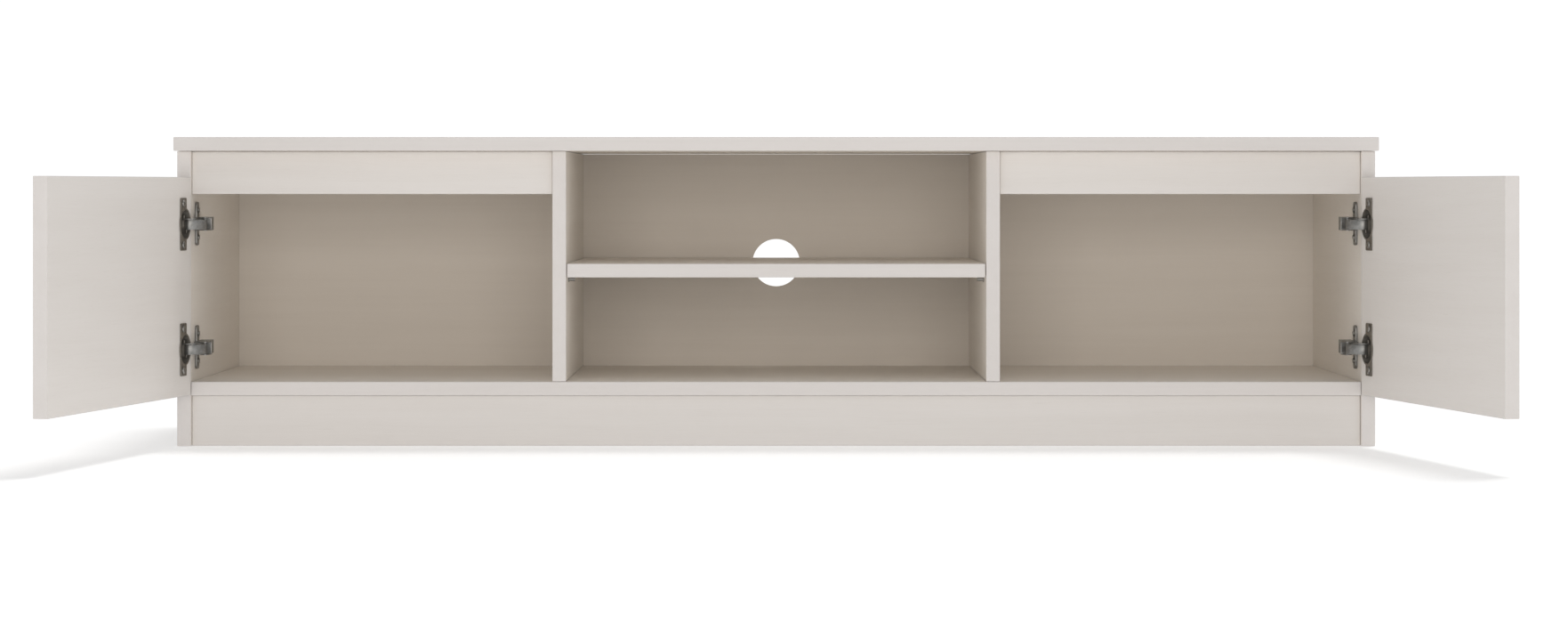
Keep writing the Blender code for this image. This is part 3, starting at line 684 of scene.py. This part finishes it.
class STAND_OT_hinges(StandOperator, bpy.types.Operator):
    """Build the hinges' plates, arms and cups with their slots and rounded ends, and finish the links"""

    bl_idname = "stand.hinges"
    bl_label = "Hinges"

    def on_side(self, node, sign):
        """The frame of a piece on a side panel: X back, Y up, Z off the panel, from the piece's middle."""
        middle = own_box(node, 0.0)[0]
        axes = Matrix(((0, 0, -sign), (1, 0, 0), (0, 1, 0))).to_4x4()
        return Matrix.Translation(middle) @ axes

    def on_door(self, node, sign):
        """The frame of a cup: X off the hinge edge, Y up, Z out of the door, from the pot's middle."""
        turn = sign * self.settings.open_angle
        middle, half = own_box(node, turn)
        face = middle + Vector((0, half.y, 0))
        axes = Matrix(((-sign, 0, 0), (0, 0, 1), (0, 1, 0))).to_4x4()
        return Matrix.Rotation(turn, 4, "Z") @ Matrix.Translation(face) @ axes

    def plate(self, hinge, sign, steel, material):
        node = f"{hinge}_mounting_plate"
        wings = rounded(steel.plate_width + 1 * MM, steel.plate_height, steel.plate_round)
        block = rounded(2 * THROUGH, steel.block_height, 0.4 * MM)
        slot = rounded(steel.slot_width, steel.slot_length, steel.slot_width / 2 - SHY)
        outline = [(points, -THROUGH, THROUGH, (0, 0)) for points in (wings, block)]
        slots = [(slot, -THROUGH, THROUGH, (0, end * steel.plate_screws / 2)) for end in (-1, 1)]
        changes = [("INTERSECT", outline), ("DIFFERENCE", slots)]
        return rework(node, steel.edge, material, self.on_side(node, sign), changes)

    def arm(self, hinge, sign, steel, material):
        node = f"{hinge}_hinge_arm"
        place = self.on_side(node, sign)
        screw = own_box(f"{hinge}_arm_screw", 0.0)[0]
        ahead = (place.inverted() @ screw).x
        slot = rounded(steel.arm_slot, steel.slot_width, steel.slot_width / 2 - SHY)
        lip = rounded(steel.lip_sheet, steel.lip_width, 0.1 * MM)
        changes = [("DIFFERENCE", [(slot, 0, THROUGH, (ahead + steel.arm_slot / 4, 0))]),
                   ("UNION", [(lip, steel.lip_low, steel.lip_low + steel.lip_depth, (-steel.lip_place, 0))])]
        return rework(node, steel.edge, material, place, changes)

    def cup(self, hinge, sign, steel, material):
        node = f"{hinge}_hinge_cup"
        flange = rounded(steel.flange_width, steel.flange_height, steel.flange_round)
        rim = rounded(steel.rim, steel.rim, steel.rim / 2 - SHY, 12)
        outline = [(flange, -THROUGH, THROUGH, (steel.flange_offset, 0)), (rim, -THROUGH, THROUGH, (0, 0))]
        return rework(node, steel.edge, material, self.on_door(node, sign), [("INTERSECT", outline)])

    def execute(self, context):
        steel = self.settings.steel
        plated = steel_finish("plated_steel", steel.plated, 0.34)
        pressed = steel_finish("pressed_steel", steel.pressed, 0.40, brushed=1.0)
        for hinge in HINGES:
            sign = SIDES[hinge.split("_")[0]]
            self.plate(hinge, sign, steel, plated)
            self.arm(hinge, sign, steel, plated)
            self.cup(hinge, sign, steel, pressed)
            for link in ("outer_link", "inner_link"):
                rework(f"{hinge}_{link}", steel.edge, plated)
        return {"FINISHED"}


class STAND_OT_fasteners(StandOperator, bpy.types.Operator):
    """Build the hinges' screws with their recess and thread, and round the shelf pins' edges"""

    bl_idname = "stand.fasteners"
    bl_label = "Screws and shelf pins"

    def execute(self, context):
        steel = self.settings.steel
        material = steel_finish("zinc", steel.zinc, 0.30, brushed=1.0, tarnish=0.2)
        nodes = sorted(frame["nodes"])
        for node in (name for name in nodes if "_screw" in name):
            make_screw(node, steel, material)
        for node in (name for name in nodes if name.endswith("_shelf_pin")):
            rework(node, PIN_EDGE, material)
        return {"FINISHED"}


class STAND_OT_studio(StandOperator, bpy.types.Operator):
    """Set the pale floor, the soft light and the camera"""

    bl_idname = "stand.studio"
    bl_label = "Studio"

    @staticmethod
    def backdrop(studio):
        """A white world that is seen brighter than it lights."""
        world = bpy.data.worlds.new("studio")
        world.use_nodes = True
        tree = world.node_tree
        lit = tree.nodes["Background"]
        lit.inputs["Color"].default_value = (1, 1, 1, 1)
        lit.inputs["Strength"].default_value = studio.sky
        seen = tree.nodes.new("ShaderNodeBackground")
        seen.inputs["Color"].default_value = (1, 1, 1, 1)
        seen.inputs["Strength"].default_value = studio.backdrop
        path = tree.nodes.new("ShaderNodeLightPath")
        mix = tree.nodes.new("ShaderNodeMixShader")
        tree.links.new(path.outputs["Is Camera Ray"], mix.inputs[0])
        tree.links.new(lit.outputs[0], mix.inputs[1])
        tree.links.new(seen.outputs[0], mix.inputs[2])
        tree.links.new(mix.outputs[0], tree.nodes["World Output"].inputs["Surface"])
        return world

    @staticmethod
    def top_light(studio):
        light = bpy.data.lights.new("top", "SUN")
        light.energy = studio.sun
        light.angle = TOP_LIGHT_ANGLE
        lamp = bpy.data.objects.new("top", light)
        lamp.rotation_euler = TOP_LIGHT_WAY.to_track_quat("-Z", "Y").to_euler()
        bpy.context.scene.collection.objects.link(lamp)

    @staticmethod
    def soft_box(name, power, size, location, colour):
        light = bpy.data.lights.new(name, "AREA")
        light.energy = power
        light.color = colour
        light.shape = "RECTANGLE"
        light.size, light.size_y = size
        lamp = bpy.data.objects.new(name, light)
        lamp.location = location
        lamp.rotation_euler = (AIM - lamp.location).to_track_quat("-Z", "Y").to_euler()
        bpy.context.scene.collection.objects.link(lamp)

    def execute(self, context):
        studio = self.settings.studio
        scene = context.scene
        work = bmesh.new()
        bmesh.ops.create_grid(work, x_segments=8, y_segments=8, size=FLOOR_HALF)
        floor = mesh_object("studio_floor", work)
        floor.location.z = CAD_BOX[0][2] - FLOOR_GAP
        finish = Finish("studio_floor")
        put_on(floor, finish.shade(base_color=tuple(studio.floor), roughness=0.9, specular_ior_level=0.1,
                                   emission_color=(1.0, 1.0, 1.0), emission_strength=studio.glow))

        scene.world = self.backdrop(studio)
        self.soft_box("fill", studio.fill, *FILL, studio.warmth)
        self.top_light(studio)
        self.soft_box("key", studio.key, *KEY, (1, 1, 1))

        lens = bpy.data.cameras.new("camera")
        lens.lens = studio.lens
        lens.sensor_width = 36
        lens.shift_x, lens.shift_y = studio.shift
        camera = bpy.data.objects.new("camera", lens)
        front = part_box("left_side_panel")[0].y
        camera.location = (0, front - studio.camera_distance, studio.camera_height)
        camera.rotation_euler = (math.pi / 2, 0, 0)
        scene.collection.objects.link(camera)
        scene.camera = camera
        scene.view_settings.view_transform = "Standard"
        return {"FINISHED"}


OPERATORS = (STAND_OT_carcass, STAND_OT_doors, STAND_OT_back, STAND_OT_hinges, STAND_OT_fasteners,
             STAND_OT_studio)


class STAND_PT_panel(bpy.types.Panel):
    """The TV stand's tools and settings"""

    bl_idname = "STAND_PT_panel"
    bl_label = "TV stand"
    bl_space_type = "VIEW_3D"
    bl_region_type = "UI"
    bl_category = "TV stand"

    def draw(self, context):
        for operator in OPERATORS:
            self.layout.operator(operator.bl_idname)
        settings = context.scene.tv_stand
        self.layout.prop(settings, "open_angle")
        for group in (settings.board, settings.steel, settings.studio):
            box = self.layout.box()
            for name in group.__annotations__:
                box.prop(group, name)


CLASSES = (BoardSettings, SteelSettings, StudioSettings, StandSettings, *OPERATORS, STAND_PT_panel)


def register():
    for cls in CLASSES:
        bpy.utils.register_class(cls)
    bpy.types.Scene.tv_stand = PointerProperty(type=StandSettings)


def unregister():
    del bpy.types.Scene.tv_stand
    for cls in reversed(CLASSES):
        bpy.utils.unregister_class(cls)


def main():
    register()
    bpy.ops.stand.carcass()
    bpy.ops.stand.doors()
    bpy.ops.stand.back()
    bpy.ops.stand.hinges()
    bpy.ops.stand.fasteners()
    bpy.ops.stand.studio()
    bpy.context.view_layer.update()


if __name__ == "__main__":
    main()
